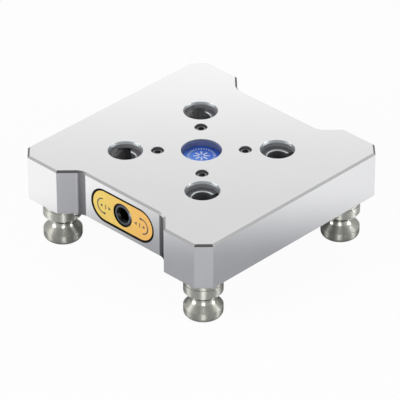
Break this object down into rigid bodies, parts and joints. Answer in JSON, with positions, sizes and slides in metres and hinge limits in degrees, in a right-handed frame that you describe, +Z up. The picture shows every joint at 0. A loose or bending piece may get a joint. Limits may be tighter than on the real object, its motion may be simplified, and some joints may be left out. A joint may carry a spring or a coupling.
{
  "type": "vise riser",
  "caption": "Square zero-point riser plate with top receivers on one grid, pull studs below on a wider grid and a screw-driven jaw lock.",
  "frame": {"origin": "centre of the square at the level of the pull studs' lower ends, where the riser stands on a bench", "axes": "+Z up, out of the top face; +Y from the drive side to the back; +X to the right, seen from the drive side"},
  "size_m": [0.125, 0.125, 0.049],
  "materials": {
    "plate_steel": "finely ground, satin",
    "cover_steel": "milled, satin",
    "stud_steel": "turned and hardened, bright",
    "jaw_steel": "hardened and ground",
    "pin_steel": "ground",
    "black_steel": "black oxide",
    "bronze": "turned",
    "seal_rubber": "matt",
    "label_yellow": "printed, satin",
    "cap_blue": "anodised, satin"
  },
  "bodies": {
    "plate": {"riser_body": "plate_steel", "base_cover": "cover_steel", "cover_screws": "black_steel", "cover_dowels": "pin_steel", "cover_seal": "seal_rubber", "pull_stud_front_left": "stud_steel", "pull_stud_front_right": "stud_steel", "pull_stud_back_left": "stud_steel", "pull_stud_back_right": "stud_steel", "stud_screws": "black_steel", "front_bush": "bronze", "rear_bush": "bronze", "thrust_washer": "bronze", "centre_cap": "cap_blue", "grease_plugs": "black_steel", "label_gasket": "seal_rubber", "label_plate": "label_yellow"},
    "spindle": {"drive_spindle": "black_steel", "spindle_o_ring": "seal_rubber", "spindle_lock_ring": "black_steel", "lock_ring_screw": "black_steel"},
    "slide": {"cam_slide": "jaw_steel", "drive_nut": "bronze"},
    "left_jaw": {"jaw_left": "jaw_steel", "jaw_pins_left": "pin_steel"},
    "right_jaw": {"jaw_right": "jaw_steel", "jaw_pins_right": "pin_steel"}
  },
  "joints": [
    {"name": "spindle_turn", "type": "hinge", "parent": "plate", "child": "spindle", "pos_m": [0, -0.0536, 0.0362], "axis": [0, -1, 0], "range_deg": [0, 961.2]},
    {"name": "slide_travel", "type": "slide", "parent": "plate", "child": "slide", "axis": [0, 1, 0], "range_m": [0, 0.008]},
    {"name": "left_jaw_travel", "type": "slide", "parent": "plate", "child": "left_jaw", "axis": [1, 0, 0], "range_m": [0, 0.00801]},
    {"name": "right_jaw_travel", "type": "slide", "parent": "plate", "child": "right_jaw", "axis": [-1, 0, 0], "range_m": [0, 0.00801]}
  ],
  "couplings": [
    {"joint": "spindle_turn", "follows": "slide_travel", "rad_per_m": 2094.4},
    {"joint": "left_jaw_travel", "follows": "slide_travel", "ratio": 1},
    {"joint": "right_jaw_travel", "follows": "slide_travel", "ratio": 1}
  ]
}
